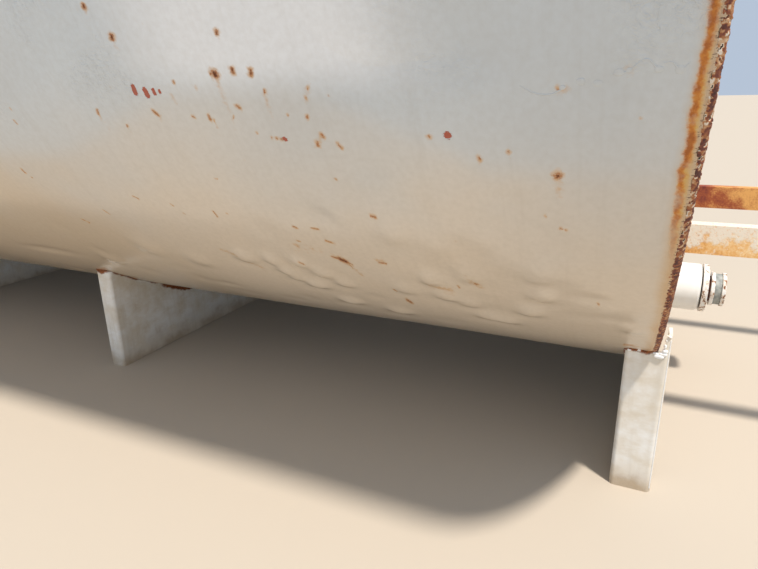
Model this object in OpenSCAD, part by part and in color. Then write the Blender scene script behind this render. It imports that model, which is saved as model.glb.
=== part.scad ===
// Horizontal pressure tank on four plate saddles, axis along X, ground at Z = 0.
// The outlet end faces +X and the near side faces -Y.

/* [Shell] */
// Outside diameter of the shell
shell_d = 3048; // [2400:6:3600]
// Shell plate thickness
shell_t = 8; // [6:1:14]
// Length over the two flat heads
tank_len = 5330; // [5000:10:7000]
// Height of the shell's underside above the ground
clearance = 167; // [100:1:400]

/* [Heads] */
// Head plate thickness
head_t = 10; // [8:1:14]
// Inside radius of the head knuckle
knuckle_in = 4; // [2:1:30]
// Length of the head's straight rim behind its knuckle, up to the girth joint
skirt = 10; // [6:1:80]

/* [Saddles] */
// Distance between the two middle saddles
mid_bay = 1480; // [1200:10:2000]
// Distance from the tank's centre plane to the outer face of each leg
leg_out = 811; // [700:1:900]
// Face width of an end saddle leg
end_leg_w = 101.6; // [92:0.1:130]
// Distance of an end leg's centre line inboard of the head's face
end_leg_in = 25; // [0:1:34]
// Flange depth of an end saddle leg
end_leg_deep = 64; // [50:1:90]
// Face width of a middle saddle leg
mid_leg_w = 70; // [60:1:110]
// Flange depth of a middle saddle leg
mid_leg_deep = 88; // [70:1:120]
// Thickness of the leg channels
leg_t = 8; // [6:0.5:12]
// Outer corner radius of the leg channels
leg_r = 12; // [10:0.5:16]
// Thickness of the saddle plates
plate_t = 10; // [8:1:16]
// Step from a leg's flange face back to the plate's face
plate_step = 2; // [1:0.5:5]
// Rise of the ear beside the head above the web of an end leg
ear_rise = 46; // [20:1:70]

/* [Outlet] */
// Outside diameter of the outlet pipe
outlet_d = 168.3; // [141.3:0.1:219.1]
// Wall of the outlet pipe
outlet_t = 7.1; // [5:0.1:11]
// Height of the outlet's centre above the bottom of the shell
outlet_up = 171; // [140:1:240]
// Length of the outlet pipe outside the head, up to its closed end
outlet_len = 135; // [90:1:200]
// Corner radius and thickness of the outlet pipe's closed end
end_r = 10; // [6:0.5:16]
// Gap between the closed end and the collar ring
collar_gap = 4; // [2:1:10]
// Width of the collar ring
collar_w = 18; // [12:1:30]
// Height of the collar ring over the outlet pipe
collar_rise = 1.2; // [0.5:0.1:8]
// Outside diameter of the nipple through collar and coupling
nipple_d = 88.9; // [60.3:0.1:114.3]
// Wall of the nipple
nipple_t = 5.5; // [4:0.1:8]
// Height of the coupling's ridges over the nipple
coupling_rise = 15; // [11:0.5:18]
// Length of the coupling
coupling_len = 46; // [40:1:64]
// Gap between the collar ring and the coupling
coupling_gap = 10; // [3:1:16]

/* [Rails] */
// Height of the support rails
rail_h = 85; // [60:1:110]
// Depth of the support rails
rail_w = 51; // [38:1:64]
// Wall of the support rails
rail_t = 5; // [4:0.5:6.5]
// Length of the support rails from the head
rail_len = 720; // [500:5:900]
// Distance from the tank's centre plane to a rail's outer face
rail_out = 422; // [330:1:480]
// Height of the rails' top face above the shell's underside
rail_up = 480; // [400:1:600]

/* [Top fittings] */
// Manway position along the tank from its middle, towards the outlet
manway_x = 760; // [600:10:1000]
// Outside diameter of the manway neck
manway_d = 508; // [457:1:610]
// Wall of the manway neck
manway_t = 10; // [8:1:14]
// Height of the manway flange's top above the shell
manway_rise = 190; // [150:5:260]
// Thickness of the manway flange and of its cover
manway_flange_t = 28; // [22:1:36]
// Width of the manway flange outside its neck
manway_flange_w = 70; // [60:1:90]
// Diameter of the bar in the manway cover's handle
handle_d = 16; // [12:1:20]
// Length of the manway cover's handle
handle_len = 220; // [140:10:300]
// Height of the handle above the manway cover
handle_rise = 60; // [45:1:80]
// Outside diameter of the small top nozzles
nozzle_d = 88.9; // [60.3:0.1:114.3]
// Wall of the small top nozzles
nozzle_t = 5.5; // [4:0.5:8]
// Height of the small nozzles' flange tops above the shell
nozzle_rise = 140; // [120:5:200]
// Thickness of the small nozzles' flanges and covers
nozzle_flange_t = 22; // [16:1:28]
// Width of a small nozzle's flange outside its neck
nozzle_flange_w = 51; // [44:1:60]
// Relief nozzle position along the tank from its middle
relief_x = -700; // [-1100:10:-500]
// Fill nozzle position along the tank from its middle
fill_x = 2000; // [1800:10:2300]
// Distance between the two lifting lugs
lug_span = 3000; // [2700:10:3300]
// Width of a lifting lug at the shell
lug_w = 180; // [140:2:240]
// Thickness of a lifting lug
lug_t = 20; // [16:1:30]
// Height of a lifting lug's hole above the shell
lug_hole_up = 70; // [60:1:100]
// Diameter of a lifting lug's hole
lug_hole_d = 52; // [40:1:60]

/* [Hidden] */

shell_r = shell_d / 2;
axis_h = clearance + shell_r;
knuckle_r = knuckle_in + head_t;
// The rails reach out at one end only, so the tank's middle lies this far from the origin
mid_x = -(rail_len - (end_leg_w / 2 - end_leg_in)) / 2;
end_x = mid_x + tank_len / 2;
rear_x = mid_x - tank_len / 2;
joint_front = end_x - knuckle_r - skirt;
joint_rear = rear_x + knuckle_r + skirt;
shell_bottom = axis_h - shell_r;
shell_top = axis_h + shell_r;
outlet_z = shell_bottom + outlet_up;
outlet_end = end_x + outlet_len;
collar_x = outlet_end + collar_gap;
collar_d = outlet_d + 2 * collar_rise;
coupling_x = collar_x + collar_w + coupling_gap;
coupling_d = nipple_d + 2 * coupling_rise;
band_d = coupling_d - 10;
groove_d = band_d - 6;
ridge_w = 12;
rail_z = shell_bottom + rail_up - rail_h;
lug_top_r = lug_hole_d / 2 + 34;
paint = "antiquewhite";
$fn = 96;

// Height of the shell's underside at a distance y from the centre plane
function under_z(y) = axis_h - sqrt(shell_r * shell_r - y * y);

// A round bar along X from x0 to x1 about the height z
module bar_x(d, x0, x1, z) {
    translate([x0, 0, z]) rotate([0, 90, 0]) cylinder(d = d, h = x1 - x0, $fn = d > 1000 ? 360 : 96);
}

// The tank's outside, used to cope what stands against it
module tank_outside(x0, x1) {
    bar_x(shell_d, x0, x1, axis_h);
}

// One course of shell plate, open at both ends
module course(x0, x1) {
    difference() {
        bar_x(shell_d, x0, x1, axis_h);
        bar_x(shell_d - 2 * shell_t, x0 - 1, x1 + 1, axis_h);
    }
}

// A vertical hole through the top of the shell
module top_hole(x, d) {
    translate([x, 0, shell_top - 200]) cylinder(d = d, h = 300);
}

// Flat head with a flanged rim: face at 0, rim running back to the girth joint
module head_blank() {
    rotate_extrude($fn = 360) union() {
        translate([0, -head_t]) square([shell_r - knuckle_r, head_t]);
        translate([shell_r - knuckle_r, -knuckle_r]) intersection() {
            difference() {
                circle(r = knuckle_r);
                circle(r = knuckle_r - head_t);
            }
            square(knuckle_r + 1);
        }
        translate([shell_r - head_t, -knuckle_r - skirt]) square([head_t, skirt]);
    }
}

// Plan of a leg channel: web on the outside at y = 0, flanges running to +Y
module channel_plan(w, deep) {
    difference() {
        union() {
            translate([-w / 2 + leg_r, 0]) square([w - 2 * leg_r, deep]);
            translate([-w / 2, leg_r]) square([w, deep - leg_r]);
            for (s = [-1, 1]) translate([s * (w / 2 - leg_r), leg_r]) circle(r = leg_r);
        }
        translate([-w / 2 + leg_r, leg_t]) square([w - 2 * leg_r, deep]);
        translate([-w / 2 + leg_t, leg_r]) square([w - 2 * leg_t, deep]);
        for (s = [-1, 1]) translate([s * (w / 2 - leg_r), leg_r]) circle(r = leg_r - leg_t);
    }
}

// A middle saddle's near leg, coped to the shell
module mid_leg(x) {
    difference() {
        translate([x, -leg_out, 0])
            linear_extrude(under_z(leg_out) + 10) channel_plan(mid_leg_w, mid_leg_deep);
        tank_outside(rear_x, end_x);
    }
}

// An end saddle's near leg: its outboard flange and corner rise beside the head as an ear
module end_leg(x, out) {
    web_top = under_z(leg_out);
    ear_x = x + out * (end_leg_w / 2 - leg_r - 1);
    difference() {
        translate([x, -leg_out, 0]) linear_extrude(web_top + ear_rise) channel_plan(end_leg_w, end_leg_deep);
        translate([out > 0 ? ear_x - end_leg_w : ear_x, -leg_out - 1, web_top])
            cube([end_leg_w, end_leg_deep + 2, ear_rise + 1]);
        tank_outside(rear_x, end_x);
    }
}

// Saddle plate between the legs' flanges, coped to the shell
module saddle_plate(x0, deep) {
    half = leg_out - deep;
    difference() {
        translate([x0, -half, 0]) cube([plate_t, 2 * half, under_z(half)]);
        tank_outside(rear_x, end_x);
    }
}

module tube_z(d, t, x, z0, z1) {
    translate([x, 0, z0]) difference() {
        cylinder(d = d, h = z1 - z0);
        translate([0, 0, -1]) cylinder(d = d - 2 * t, h = z1 - z0 + 2);
    }
}

// A neck set through the shell's top, coped flush with the shell's inside
module neck(x, d, t, rise) {
    difference() {
        tube_z(d, t, x, shell_top - 120, shell_top + rise);
        bar_x(shell_d - 2 * shell_t, x - d, x + d, axis_h);
    }
}

module ring_x(d_out, d_in, x0, x1, z) {
    difference() {
        bar_x(d_out, x0, x1, z);
        bar_x(d_in, x0 - 1, x1 + 1, z);
    }
}

module rail(s) {
    y0 = s < 0 ? -rail_out : rail_out - rail_w;
    difference() {
        translate([end_x, y0, rail_z]) cube([rail_len, rail_w, rail_h]);
        translate([end_x - 1, y0 + rail_t, rail_z + rail_t])
            cube([rail_len + 2, rail_w - 2 * rail_t, rail_h - 2 * rail_t]);
    }
}

module lug(x) {
    hole_z = shell_top + lug_hole_up;
    difference() {
        translate([x, lug_t / 2, 0]) rotate([90, 0, 0]) linear_extrude(lug_t) union() {
            translate([-lug_w / 2, shell_top - 4]) square([lug_w, 34]);
            translate([-lug_top_r, shell_top]) square([2 * lug_top_r, lug_hole_up]);
            translate([0, hole_z]) circle(r = lug_top_r);
        }
        translate([x, lug_t, hole_z]) rotate([90, 0, 0]) cylinder(d = lug_hole_d, h = 2 * lug_t);
        tank_outside(rear_x, end_x);
    }
}

module shell_front() {
    color(paint) difference() {
        course(mid_x, joint_front);
        top_hole(mid_x + manway_x, manway_d);
        top_hole(mid_x + fill_x, nozzle_d);
    }
}

module shell_rear() {
    color(paint) difference() {
        course(joint_rear, mid_x);
        top_hole(mid_x + relief_x, nozzle_d);
    }
}

module head_outlet() {
    color(paint) difference() {
        translate([end_x, 0, axis_h]) rotate([0, 90, 0]) head_blank();
        bar_x(outlet_d, end_x - 50, end_x + 50, outlet_z);
    }
}

module head_plain() {
    color(paint) translate([rear_x, 0, axis_h]) rotate([0, -90, 0]) head_blank();
}

// Saddles run a, b, c, d from the outlet end; plates of a and d stand on the inboard flange
x_a = end_x - end_leg_in;
x_b = mid_x + mid_bay / 2;
x_c = mid_x - mid_bay / 2;
x_d = rear_x + end_leg_in;

module saddle_a_plate() { color(paint) saddle_plate(x_a - end_leg_w / 2 + plate_step, end_leg_deep); }
module saddle_a_leg_near() { color(paint) end_leg(x_a, 1); }
module saddle_a_leg_far() { color(paint) mirror([0, 1, 0]) end_leg(x_a, 1); }
module saddle_b_plate() {
    color(paint) saddle_plate(x_b + mid_leg_w / 2 - plate_step - plate_t, mid_leg_deep);
}
module saddle_b_leg_near() { color(paint) mid_leg(x_b); }
module saddle_b_leg_far() { color(paint) mirror([0, 1, 0]) mid_leg(x_b); }
module saddle_c_plate() { color(paint) saddle_plate(x_c - mid_leg_w / 2 + plate_step, mid_leg_deep); }
module saddle_c_leg_near() { color(paint) mid_leg(x_c); }
module saddle_c_leg_far() { color(paint) mirror([0, 1, 0]) mid_leg(x_c); }
module saddle_d_plate() {
    color(paint) saddle_plate(x_d + end_leg_w / 2 - plate_step - plate_t, end_leg_deep);
}
module saddle_d_leg_near() { color(paint) end_leg(x_d, -1); }
module saddle_d_leg_far() { color(paint) mirror([0, 1, 0]) end_leg(x_d, -1); }

// The outlet pipe runs through the head; a plate with a rounded rim closes it round the nipple
module outlet_pipe() {
    bore_r = nipple_d / 2;
    rim_r = outlet_d / 2 - end_r;
    color("white") translate([end_x, 0, outlet_z]) rotate([0, 90, 0]) rotate_extrude() union() {
        translate([outlet_d / 2 - outlet_t, -head_t]) square([outlet_t, head_t + outlet_len - end_r]);
        translate([bore_r, outlet_len - end_r]) square([rim_r - bore_r, end_r]);
        translate([rim_r, outlet_len - end_r]) intersection() {
            circle(r = end_r);
            square(end_r + 1);
        }
    }
}
module outlet_collar() {
    color("white") ring_x(collar_d, nipple_d, collar_x, collar_x + collar_w, outlet_z);
}
module outlet_nipple() {
    color("saddlebrown")
        ring_x(nipple_d, nipple_d - 2 * nipple_t, outlet_end - end_r, coupling_x + coupling_len, outlet_z);
}
module coupling_body() {
    color("white") difference() {
        ring_x(coupling_d, nipple_d, coupling_x, coupling_x + coupling_len, outlet_z);
        ring_x(coupling_d + 10, groove_d, coupling_x + ridge_w, coupling_x + coupling_len - ridge_w, outlet_z);
    }
}
module coupling_band() {
    color("slategray")
        ring_x(band_d, groove_d, coupling_x + ridge_w, coupling_x + coupling_len - ridge_w, outlet_z);
}

module rail_near() { color("tan") rail(-1); }
module rail_far() { color("sienna") rail(1); }

module manway_neck() { color(paint) neck(mid_x + manway_x, manway_d, manway_t, manway_rise); }
module manway_flange() {
    color(paint) tube_z(manway_d + 2 * manway_flange_w, manway_flange_w, mid_x + manway_x,
        shell_top + manway_rise - manway_flange_t, shell_top + manway_rise);
}
module manway_cover() {
    bar_z = handle_rise - handle_d / 2;
    color(paint) translate([mid_x + manway_x, 0, shell_top + manway_rise]) union() {
        cylinder(d = manway_d + 2 * manway_flange_w, h = manway_flange_t);
        for (s = [-1, 1]) translate([s * (handle_len - handle_d) / 2, 0, manway_flange_t - 2])
            cylinder(d = handle_d, h = bar_z + 2);
        translate([-handle_len / 2, 0, manway_flange_t + bar_z]) rotate([0, 90, 0])
            cylinder(d = handle_d, h = handle_len);
    }
}
module relief_neck() { color(paint) neck(mid_x + relief_x, nozzle_d, nozzle_t, nozzle_rise); }
module nozzle_flange(x) {
    tube_z(nozzle_d + 2 * nozzle_flange_w, nozzle_flange_w, x,
        shell_top + nozzle_rise - nozzle_flange_t, shell_top + nozzle_rise);
}
module nozzle_cover(x) {
    translate([x, 0, shell_top + nozzle_rise])
        cylinder(d = nozzle_d + 2 * nozzle_flange_w, h = nozzle_flange_t);
}
module relief_flange() { color(paint) nozzle_flange(mid_x + relief_x); }
module relief_cover() { color(paint) nozzle_cover(mid_x + relief_x); }
module fill_neck() { color(paint) neck(mid_x + fill_x, nozzle_d, nozzle_t, nozzle_rise); }
module fill_flange() { color(paint) nozzle_flange(mid_x + fill_x); }
module fill_cover() { color(paint) nozzle_cover(mid_x + fill_x); }
module lug_front() { color(paint) lug(mid_x + lug_span / 2); }
module lug_rear() { color(paint) lug(mid_x - lug_span / 2); }

shell_front();
shell_rear();
head_outlet();
head_plain();
saddle_a_plate();
saddle_a_leg_near();
saddle_a_leg_far();
saddle_b_plate();
saddle_b_leg_near();
saddle_b_leg_far();
saddle_c_plate();
saddle_c_leg_near();
saddle_c_leg_far();
saddle_d_plate();
saddle_d_leg_near();
saddle_d_leg_far();
outlet_pipe();
outlet_collar();
outlet_nipple();
coupling_body();
coupling_band();
rail_near();
rail_far();
manway_neck();
manway_flange();
manway_cover();
relief_neck();
relief_flange();
relief_cover();
fill_neck();
fill_flange();
fill_cover();
lug_front();
lug_rear();
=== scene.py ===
import math
import random

import bpy
import numpy as np
from mathutils import Matrix, Vector


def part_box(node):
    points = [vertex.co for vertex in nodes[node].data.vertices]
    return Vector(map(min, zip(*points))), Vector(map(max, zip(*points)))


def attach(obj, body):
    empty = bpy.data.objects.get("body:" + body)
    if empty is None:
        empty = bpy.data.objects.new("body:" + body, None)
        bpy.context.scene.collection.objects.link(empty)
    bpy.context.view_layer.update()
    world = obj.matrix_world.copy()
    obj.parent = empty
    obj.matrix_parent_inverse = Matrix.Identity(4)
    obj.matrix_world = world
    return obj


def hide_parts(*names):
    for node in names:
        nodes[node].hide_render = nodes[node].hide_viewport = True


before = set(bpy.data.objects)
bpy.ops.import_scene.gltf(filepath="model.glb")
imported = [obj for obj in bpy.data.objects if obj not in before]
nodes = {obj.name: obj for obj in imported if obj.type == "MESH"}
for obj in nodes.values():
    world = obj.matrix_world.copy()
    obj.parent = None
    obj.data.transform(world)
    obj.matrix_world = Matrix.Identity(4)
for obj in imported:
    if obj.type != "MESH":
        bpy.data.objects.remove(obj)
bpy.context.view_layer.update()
random.seed(41)
print("frame loaded,", len(nodes), "nodes")

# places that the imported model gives, in metres
frontLow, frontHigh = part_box("shell_front")
rearLow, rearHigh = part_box("shell_rear")
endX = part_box("head_outlet")[1].x
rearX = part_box("head_plain")[0].x
midX = frontLow.x
shellR = (frontHigh.z - frontLow.z) / 2 - 0.0003
axisZ = (frontHigh.z + frontLow.z) / 2
halfLength = (endX - rearX) / 2
mm = 0.001
knuckleR = 14 * mm


# camera: the viewing place of the picture, and where its sight lines meet the shell

viewer = {
    "place": (endX - 0.0660, -2.2563, 1.0048),
    "turn": 25.459,  # degrees to the left of straight across the tank
    "dip": 17.997,  # degrees below level
    "lean": -1.086,
    "focalPixels": 572.97,
    "pictureWidth": 758,
    "pictureHeight": 569,
}


def viewerAxes():
    turn, dip, lean = (math.radians(viewer[k]) for k in ("turn", "dip", "lean"))
    ahead = Vector((-math.sin(turn) * math.cos(dip), math.cos(turn) * math.cos(dip), -math.sin(dip)))
    side = ahead.cross(Vector((0, 0, 1))).normalized()
    over = side.cross(ahead)
    right = side * math.cos(lean) + over * math.sin(lean)
    up = over * math.cos(lean) - side * math.sin(lean)
    return right, up, ahead


def sightLine(column, row):
    # from the viewing place towards a point of the picture
    right, up, ahead = viewerAxes()
    return Vector(viewer["place"]), (ahead * viewer["focalPixels"]
                                     + right * (column - viewer["pictureWidth"] / 2)
                                     - up * (row - viewer["pictureHeight"] / 2))


def onShell(column, row):
    # where the sight line meets the shell: x along the tank, arc round it from the bottom line
    eye, ray = sightLine(column, row)
    ray = ray.normalized()
    a = ray.y ** 2 + ray.z ** 2
    b = 2 * (eye.y * ray.y + (eye.z - axisZ) * ray.z)
    c = eye.y ** 2 + (eye.z - axisZ) ** 2 - shellR ** 2
    reach = (-b - math.sqrt(max(b * b - 4 * a * c, 0))) / (2 * a)
    hit = eye + ray * reach
    return hit.x, shellR * math.atan2(hit.y, axisZ - hit.z)


def onPlate(column, row, x):
    # where the sight line meets a plate that stands across the tank at x
    eye, ray = sightLine(column, row)
    return eye + ray * ((x - eye.x) / ray.x)


def shellPoint(x, arc, lift=0.0):
    angle = arc / shellR
    return Vector((x, (shellR + lift) * math.sin(angle), axisZ - (shellR + lift) * math.cos(angle)))


bpy.ops.object.camera_add(location=viewer["place"])
camera = bpy.context.object
camera.name = "viewCamera"
right, up, ahead = viewerAxes()
turned = Matrix((right, up, -ahead)).transposed().to_4x4()
camera.matrix_world = Matrix.Translation(viewer["place"]) @ turned
camera.data.sensor_width = 36
camera.data.lens = 36 * viewer["focalPixels"] / viewer["pictureWidth"]
camera.data.clip_end = 200
bpy.context.scene.camera = camera
print("camera set")


# small helpers

def linearTint(hexText):
    parts = [int(hexText[i:i + 2], 16) / 255 for i in (1, 3, 5)]
    return [p / 12.92 if p <= 0.04045 else ((p + 0.055) / 1.055) ** 2.4 for p in parts] + [1.0]


def setInput(node, name, value):
    if isinstance(value, bpy.types.NodeSocket):
        node.id_data.links.new(value, node.inputs[name])
    else:
        node.inputs[name].default_value = value


def addNode(tree, kind, settings=None, out=0):
    # a node whose named values are set, or linked where they are sockets
    made = tree.nodes.new("ShaderNode" + kind)
    for key, value in (settings or {}).items():
        if isinstance(value, str) and value.startswith("#"):
            value = linearTint(value)
        if key == "stops":  # colour ramp: (place, hex) pairs
            ramp = made.color_ramp
            while len(ramp.elements) < len(value):
                ramp.elements.new(0.5)
            for element, (at, hexText) in zip(ramp.elements, value):
                element.position, element.color = at, linearTint(hexText)
        elif isinstance(key, int) or key in made.inputs:
            setInput(made, key, value)
        else:
            setattr(made, key, value)
    return made.outputs[out]


def nodeOf(kind, settings, out=0):
    # in the tree that the first linked value belongs to
    tree = next(v.id_data for v in settings.values() if isinstance(v, bpy.types.NodeSocket))
    return addNode(tree, kind, settings, out)


def mathOf(operation, *values, clamp=False):
    return nodeOf("Math", {"operation": operation, "use_clamp": clamp, **dict(enumerate(values))})


def plus(*values, **more):
    return mathOf("ADD", *values, **more)


def minus(*values):
    return mathOf("SUBTRACT", *values)


def times(*values):
    return mathOf("MULTIPLY", *values)


def larger(*values):
    return mathOf("MAXIMUM", *values)


def ranged(value, low, high, start=0.0, end=1.0, **more):
    return nodeOf("MapRange", {**more, "Value": value, "From Min": low, "From Max": high,
                               "To Min": start, "To Max": end})


def smooth(value, low, high, start=0.0, end=1.0):
    return ranged(value, low, high, start, end, interpolation_type="SMOOTHSTEP")


def wobbled(value, reach):
    # a noise turned into an offset either way
    return ranged(value, 0.3, 0.7, -reach, reach)


def tintOver(share, under, over):
    return nodeOf("Mix", {"data_type": "RGBA", 0: share, 6: under, 7: over}, out=2)


def between(share, low, high):
    return nodeOf("Mix", {0: share, 2: low, 3: high})


def noise(place, scale, detail, roughness=0.5, distortion=0.0):
    return nodeOf("TexNoise", {"Vector": place, "Scale": scale, "Detail": detail,
                               "Roughness": roughness, "Distortion": distortion})


def stretchedBy(place, factors):
    return nodeOf("VectorMath", {"operation": "MULTIPLY", 0: place, 1: factors})


def rampOf(value, stops):
    return nodeOf("ValToRGB", {0: value, "stops": stops})


def bumped(height, strength, distance, *normal):
    chain = {"Normal": normal[0]} if normal else {}
    return nodeOf("Bump", {"Height": height, "Strength": strength, "Distance": distance, **chain})


def startMaterial(name):
    material = bpy.data.materials.new(name)
    material.use_nodes = True
    return material, addNode(material.node_tree, "TexCoord", out=3)


def dressed(material, tone, rough, normal):
    shader = material.node_tree.nodes["Principled BSDF"]
    for name, value in (("Base Color", tone), ("Roughness", rough), ("Normal", normal)):
        setInput(shader, name, value)
    return material


def setMode(mode):
    bpy.ops.object.mode_set(mode=mode)


def deselectAll():
    if bpy.context.object and bpy.context.object.mode != "OBJECT":
        setMode("OBJECT")
    bpy.ops.object.select_all(action="DESELECT")


def activate(piece):
    deselectAll()
    piece.select_set(True)
    bpy.context.view_layer.objects.active = piece


def editWhere(piece, kind, test, change, **settings):
    # picks the faces or edges that pass the test and changes them
    activate(piece)
    setMode("EDIT")
    bpy.ops.mesh.select_mode(type=kind)
    bpy.ops.mesh.select_all(action="DESELECT")
    setMode("OBJECT")
    for item in (piece.data.polygons if kind == "FACE" else piece.data.edges):
        item.select = bool(test(item))
    setMode("EDIT")
    change(**settings)
    setMode("OBJECT")


def editAll(piece, *changes):
    activate(piece)
    setMode("EDIT")
    bpy.ops.mesh.select_all(action="SELECT")
    for change in changes:
        change()
    setMode("OBJECT")


def readPoints(piece):
    flat = np.empty(len(piece.data.vertices) * 3)
    piece.data.vertices.foreach_get("co", flat)
    return flat.reshape(-1, 3)


def writePoints(piece, points):
    piece.data.vertices.foreach_set("co", points.ravel())
    piece.data.update()


def scaleRound(points, factor):
    # moves points towards or away from the tank's axis
    points[:, 1] *= factor
    points[:, 2] = axisZ + (points[:, 2] - axisZ) * factor


def writeField(piece, name, values):
    field = piece.data.attributes.get(name) or piece.data.attributes.new(name, "FLOAT", "POINT")
    field.data.foreach_set("value", np.asarray(values, np.float32))


def settle(piece, material, smoothAngle=None):
    # the place goes into the mesh, the finish and the body are given
    activate(piece)
    bpy.ops.object.transform_apply(location=True, rotation=True, scale=True)
    if smoothAngle:
        bpy.ops.object.shade_smooth_by_angle(angle=math.radians(smoothAngle))
    piece.data.materials.clear()
    piece.data.materials.append(material)
    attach(piece, "root")
    return piece


def joinPieces(pieces, name):
    deselectAll()
    for piece in pieces:
        piece.select_set(True)
    bpy.context.view_layer.objects.active = pieces[0]
    if len(pieces) > 1:
        bpy.ops.object.join()
    pieces[0].name = name
    pieces[0].data.name = name
    return pieces[0]


# finishes

# arc from the bottom line, in metres, under which the rim's rust looks different, and over what way
lowRim = {"from": 1.47, "over": 0.13}


# where a point lies on the tank: x, arc round the shell, way to the nearer head's turned edge
def tankPlaces(place):
    split = nodeOf("SeparateXYZ", {0: place})
    x, y, z = split.node.outputs
    drop = minus(axisZ, z)
    angle = mathOf("ARCTAN2", y, drop)
    arc = times(angle, shellR)
    across = nodeOf("CombineXYZ", {1: y, 2: drop})
    radius = nodeOf("VectorMath", {"operation": "LENGTH", 0: across}, out=1)
    fromMid = mathOf("ABSOLUTE", minus(x, midX))
    toEnd = minus(halfLength, fromMid)
    inward = larger(minus(shellR - knuckleR, radius), 0.0)
    edge = plus(toEnd, inward)
    rolled = nodeOf("CombineXYZ", {0: x, 1: arc, 2: radius})
    return {"x": x, "y": y, "z": z, "arc": arc, "radius": radius, "edge": edge, "toEnd": toEnd,
            "rolled": rolled}


# Sprayed white enamel on rolled steel plate, decades old: still glossy, chalky and stained in runs,
# with pinholes that rust through, and scale lifting the paint along the head's edge.
def agedEnamel(name, look):
    material, place = startMaterial(name)
    at = tankPlaces(place)
    # broad cloudiness, about 600 mm across
    cloud = noise(place, 1.7, 3.0, 0.55)
    base = smooth(cloud, 0.38, 0.66)
    tone = tintOver(base, look["fresh"], look["aged"])
    # painted sheen: a paler field on the near side, where a broad highlight lies
    wander = wobbled(cloud, 0.05)
    fieldX = plus(at["x"], wander)
    rise = smooth(fieldX, endX - 1.12, endX - 0.80)
    fall = smooth(fieldX, endX - 0.32, endX - 0.54)
    over = smooth(at["z"], axisZ - 0.70, axisZ - 0.61)
    under = smooth(at["z"], axisZ + 0.9, axisZ + 0.1)
    near = mathOf("LESS_THAN", at["y"], 0.0)
    bloom = times(rise, fall)
    for part in (over, under, near):
        bloom = times(bloom, part)
    bloom = times(bloom, look["bloom"])
    tone = tintOver(bloom, tone, "#f4f7fa")
    # the underside is warmer: dust that rain never reaches, and a painted reflection of the warm ground
    cloudy = wobbled(cloud, 0.12)
    shelter = plus(at["z"], cloudy)
    shelter = smooth(shelter, axisZ - 0.62, axisZ - 1.10, 0.0, look["shelter"])
    # its upper limit is a painted reflection line, which climbs under the painted sheen
    climb = smooth(fieldX, endX - 1.45, endX - 0.90, 0.0, 0.14)
    sink = smooth(fieldX, endX - 0.66, endX - 0.28, 0.0, 0.14)
    paintedReflectionLine = minus(at["z"], minus(climb, sink))
    paintedReflectionLine = smooth(paintedReflectionLine, axisZ - 0.775, axisZ - 0.84, 0.0, 0.34 * look["shelter"])
    shelter = plus(shelter, paintedReflectionLine, clamp=True)
    thicker = smooth(fieldX, endX - 0.95, endX - 1.75)
    # this dust colour also paints the warm reflection of the ground
    dust = tintOver(thicker, look["dust"], look["thickDust"])
    tone = tintOver(shelter, tone, dust)
    # painted shade: greyer towards the outlet end
    film = smooth(fieldX, endX - 0.50, endX - 0.12, 0.0, look["film"])
    tone = tintOver(film, tone, "#8f8a84")
    # runs of dirt down the shell, some 30 mm apart and half a metre long
    stretched = stretchedBy(at["rolled"], (46.0, 1.6, 2.0))
    run = ranged(noise(stretched, 1.0, 4.0, 0.6), 0.52, 0.80, 0.0, look["runs"])
    tone = tintOver(run, tone, look["grime"])
    # fine chalk mottle, 12 mm
    mottle = ranged(noise(place, 85.0, 3.0), 0.35, 0.75, 0.0, 0.10)
    tone = tintOver(mottle, tone, look["grime"])

    # pinhole rust: a speck of 1 to 4 mm in some of the 80 mm cells
    cells = nodeOf("TexVoronoi", {"Scale": 12.0, "Randomness": 1.0, "Vector": place})
    pick = nodeOf("SeparateColor", {0: cells.node.outputs[1]})
    size = ranged(pick, 0.62, 1.0, -0.01, 0.034)
    speck = minus(size, cells)
    speckCore = smooth(speck, -0.004, 0.008, 0.0, look["specks"])
    speckHalo = smooth(speck, -0.05, 0.0, 0.0, 0.28 * look["specks"])
    sized = mathOf("GREATER_THAN", size, 0.0)
    speckHalo = times(speckHalo, sized)

    # marks that the mesh carries: rust chips, their stains, and red primer where the enamel flew off
    jag = wobbled(noise(place, 300.0, 5.0, 0.65), 0.2)
    softJag = wobbled(noise(place, 110.0, 4.0), 0.2)
    masks = {}
    for mask, wobble, low, high in (
            ("rustCore", jag, 0.70, 0.86), ("rustMid", jag, 0.44, 0.72), ("rustHalo", softJag, 0.06, 0.60),
            ("stainMark", softJag, 0.0, 1.0), ("primerMark", jag, 0.0, 0.14)):
        mark = "rustMark" if mask.startswith("rust") else mask
        held = addNode(material.node_tree, "Attribute", {"attribute_name": mark}, out=2)
        field = plus(held, wobble)
        inside = mathOf("GREATER_THAN", held, 0.001)
        field = smooth(field, low, high)
        masks[mask] = times(field, inside)

    # the head's edge: a rust stain along the knuckle, a pale strip, then lifting scale
    sway = wobbled(noise(place, 12.0, 4.0, 0.6), 5 * mm)
    fray = wobbled(noise(place, 130.0, 5.0, 0.65), 2.2 * mm)
    # towards the bottom the rust draws back to the edge: 1 from some 40 degrees under the level
    lower = smooth(mathOf("ABSOLUTE", at["arc"]), lowRim["from"], lowRim["from"] - lowRim["over"])
    closer = times(lower, 8 * mm)
    swayed = plus(at["edge"], sway)
    halo = smooth(swayed, 42 * mm, 14 * mm, 0.0, 0.62)
    swayed = plus(swayed, closer)
    frayed = plus(swayed, fray)
    outer = smooth(frayed, 32 * mm, 25 * mm)
    unswayed = plus(at["edge"], fray)
    inner = smooth(unswayed, 11 * mm, 20 * mm)
    band = times(outer, inner)
    patchy = noise(place, 13.0, 5.0, 0.6)
    share = ranged(patchy, 0.38, 0.50, 0.35, 0.95)
    band = times(band, share)
    weaker = ranged(lower, 0.0, 1.0, 1.0, 0.12)
    band = times(band, weaker)
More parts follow.
